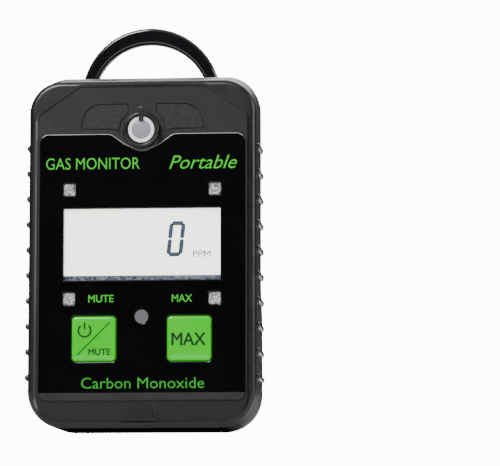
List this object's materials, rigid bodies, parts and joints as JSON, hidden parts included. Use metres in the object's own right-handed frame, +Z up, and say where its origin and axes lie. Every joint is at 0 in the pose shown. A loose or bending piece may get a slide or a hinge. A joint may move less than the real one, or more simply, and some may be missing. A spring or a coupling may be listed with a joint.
{
  "type": "portable gas detector",
  "caption": "Pocket-size single-gas detector: two-shell case with display, two keys, gas port with turning cap, belt clip and hanging ring.",
  "frame": {"origin": "centre of the flat bottom face, on the plane where the two shells meet", "axes": "+Z up the height of the case, -Y out of the display, +X to the viewer's right"},
  "size_m": [0.0624, 0.0389, 0.1101],
  "materials": {
    "case_plastic": "fine spark texture",
    "seal_rubber": "matt",
    "screw_steel": "plain",
    "overlay_gloss": "gloss",
    "clear_window": "clear",
    "display_glass": "clear",
    "light_guide": "milky",
    "key_green": "gloss",
    "switch_plastic": "moulded",
    "vent_felt": "felt",
    "cap_plastic": "satin",
    "bright_ring": "polished",
    "sensor_plastic": "moulded",
    "board_laminate": "solder mask",
    "cell_wrap": "shrink wrap",
    "contact_nickel": "nickel plate",
    "insert_brass": "turned",
    "black_oxide": "black oxide",
    "ring_enamel": "gloss"
  },
  "bodies": {
    "root": {"front_shell": "case_plastic", "rear_shell": "case_plastic", "case_gasket": "seal_rubber", "case_screws": "screw_steel", "graphic_overlay": "overlay_gloss", "lcd_window": "clear_window", "lcd_glass": "display_glass", "lcd_backlight": "light_guide", "lower_contact_strip": "seal_rubber", "upper_contact_strip": "seal_rubber", "alarm_lens_1": "clear_window", "alarm_lens_2": "clear_window", "alarm_lens_3": "clear_window", "alarm_lens_4": "clear_window", "alarm_lamp_1": "light_guide", "alarm_lamp_2": "light_guide", "alarm_lamp_3": "light_guide", "alarm_lamp_4": "light_guide", "keypad_membrane": "seal_rubber", "power_switch": "switch_plastic", "max_switch": "switch_plastic", "sounder_vent": "vent_felt", "sounder": "switch_plastic", "port_seal": "seal_rubber", "gas_sensor": "sensor_plastic", "main_board": "board_laminate", "battery": "cell_wrap", "positive_contact": "contact_nickel", "negative_contact": "contact_nickel", "vibration_motor": "contact_nickel", "clip_insert": "insert_brass", "clip_screw": "screw_steel"},
    "power_key": {"power_key": "key_green"},
    "max_key": {"max_key": "key_green"},
    "port_cap": {"sensor_cap": "cap_plastic", "cap_bezel": "bright_ring", "filter_disc": "vent_felt"},
    "clip": {"clip_base": "black_oxide", "clip_pin": "contact_nickel", "clip_spring": "contact_nickel"},
    "jaw": {"clip_jaw": "contact_nickel"},
    "lever": {"clip_lever": "black_oxide"},
    "ring": {"hang_ring": "ring_enamel"}
  },
  "joints": [
    {"name": "power_key_press", "type": "slide", "parent": "root", "child": "power_key", "axis": [0, 1, 0], "range_m": [0, 0.0006], "stiffness_N_per_m": 1500, "springref_m": -0.0004},
    {"name": "max_key_press", "type": "slide", "parent": "root", "child": "max_key", "axis": [0, 1, 0], "range_m": [0, 0.0006], "stiffness_N_per_m": 1500, "springref_m": -0.0004},
    {"name": "port_cap_twist", "type": "hinge", "parent": "root", "child": "port_cap", "pos_m": [0, -0.012, 0.0788], "axis": [0, 1, 0], "range_deg": [0, 45]},
    {"name": "clip_swivel", "type": "hinge", "parent": "root", "child": "clip", "pos_m": [0, 0.008, 0.0595], "axis": [0, 1, 0], "range_deg": [-16, 16]},
    {"name": "ring_swing", "type": "hinge", "parent": "clip", "child": "ring", "pos_m": [0, 0.01047, 0.079], "axis": [-1, 0, 0], "range_deg": [0, 140]},
    {"name": "lever_flip", "type": "hinge", "parent": "clip", "child": "lever", "pos_m": [0, 0.017, 0.0735], "axis": [1, 0, 0], "range_deg": [0, 100]},
    {"name": "jaw_open", "type": "hinge", "parent": "clip", "child": "jaw", "pos_m": [0, 0.017, 0.0735], "axis": [1, 0, 0], "range_deg": [0, 12]}
  ],
  "couplings": [
    {"joint": "jaw_open", "follows": "lever_flip", "ratio": 0.12}
  ]
}
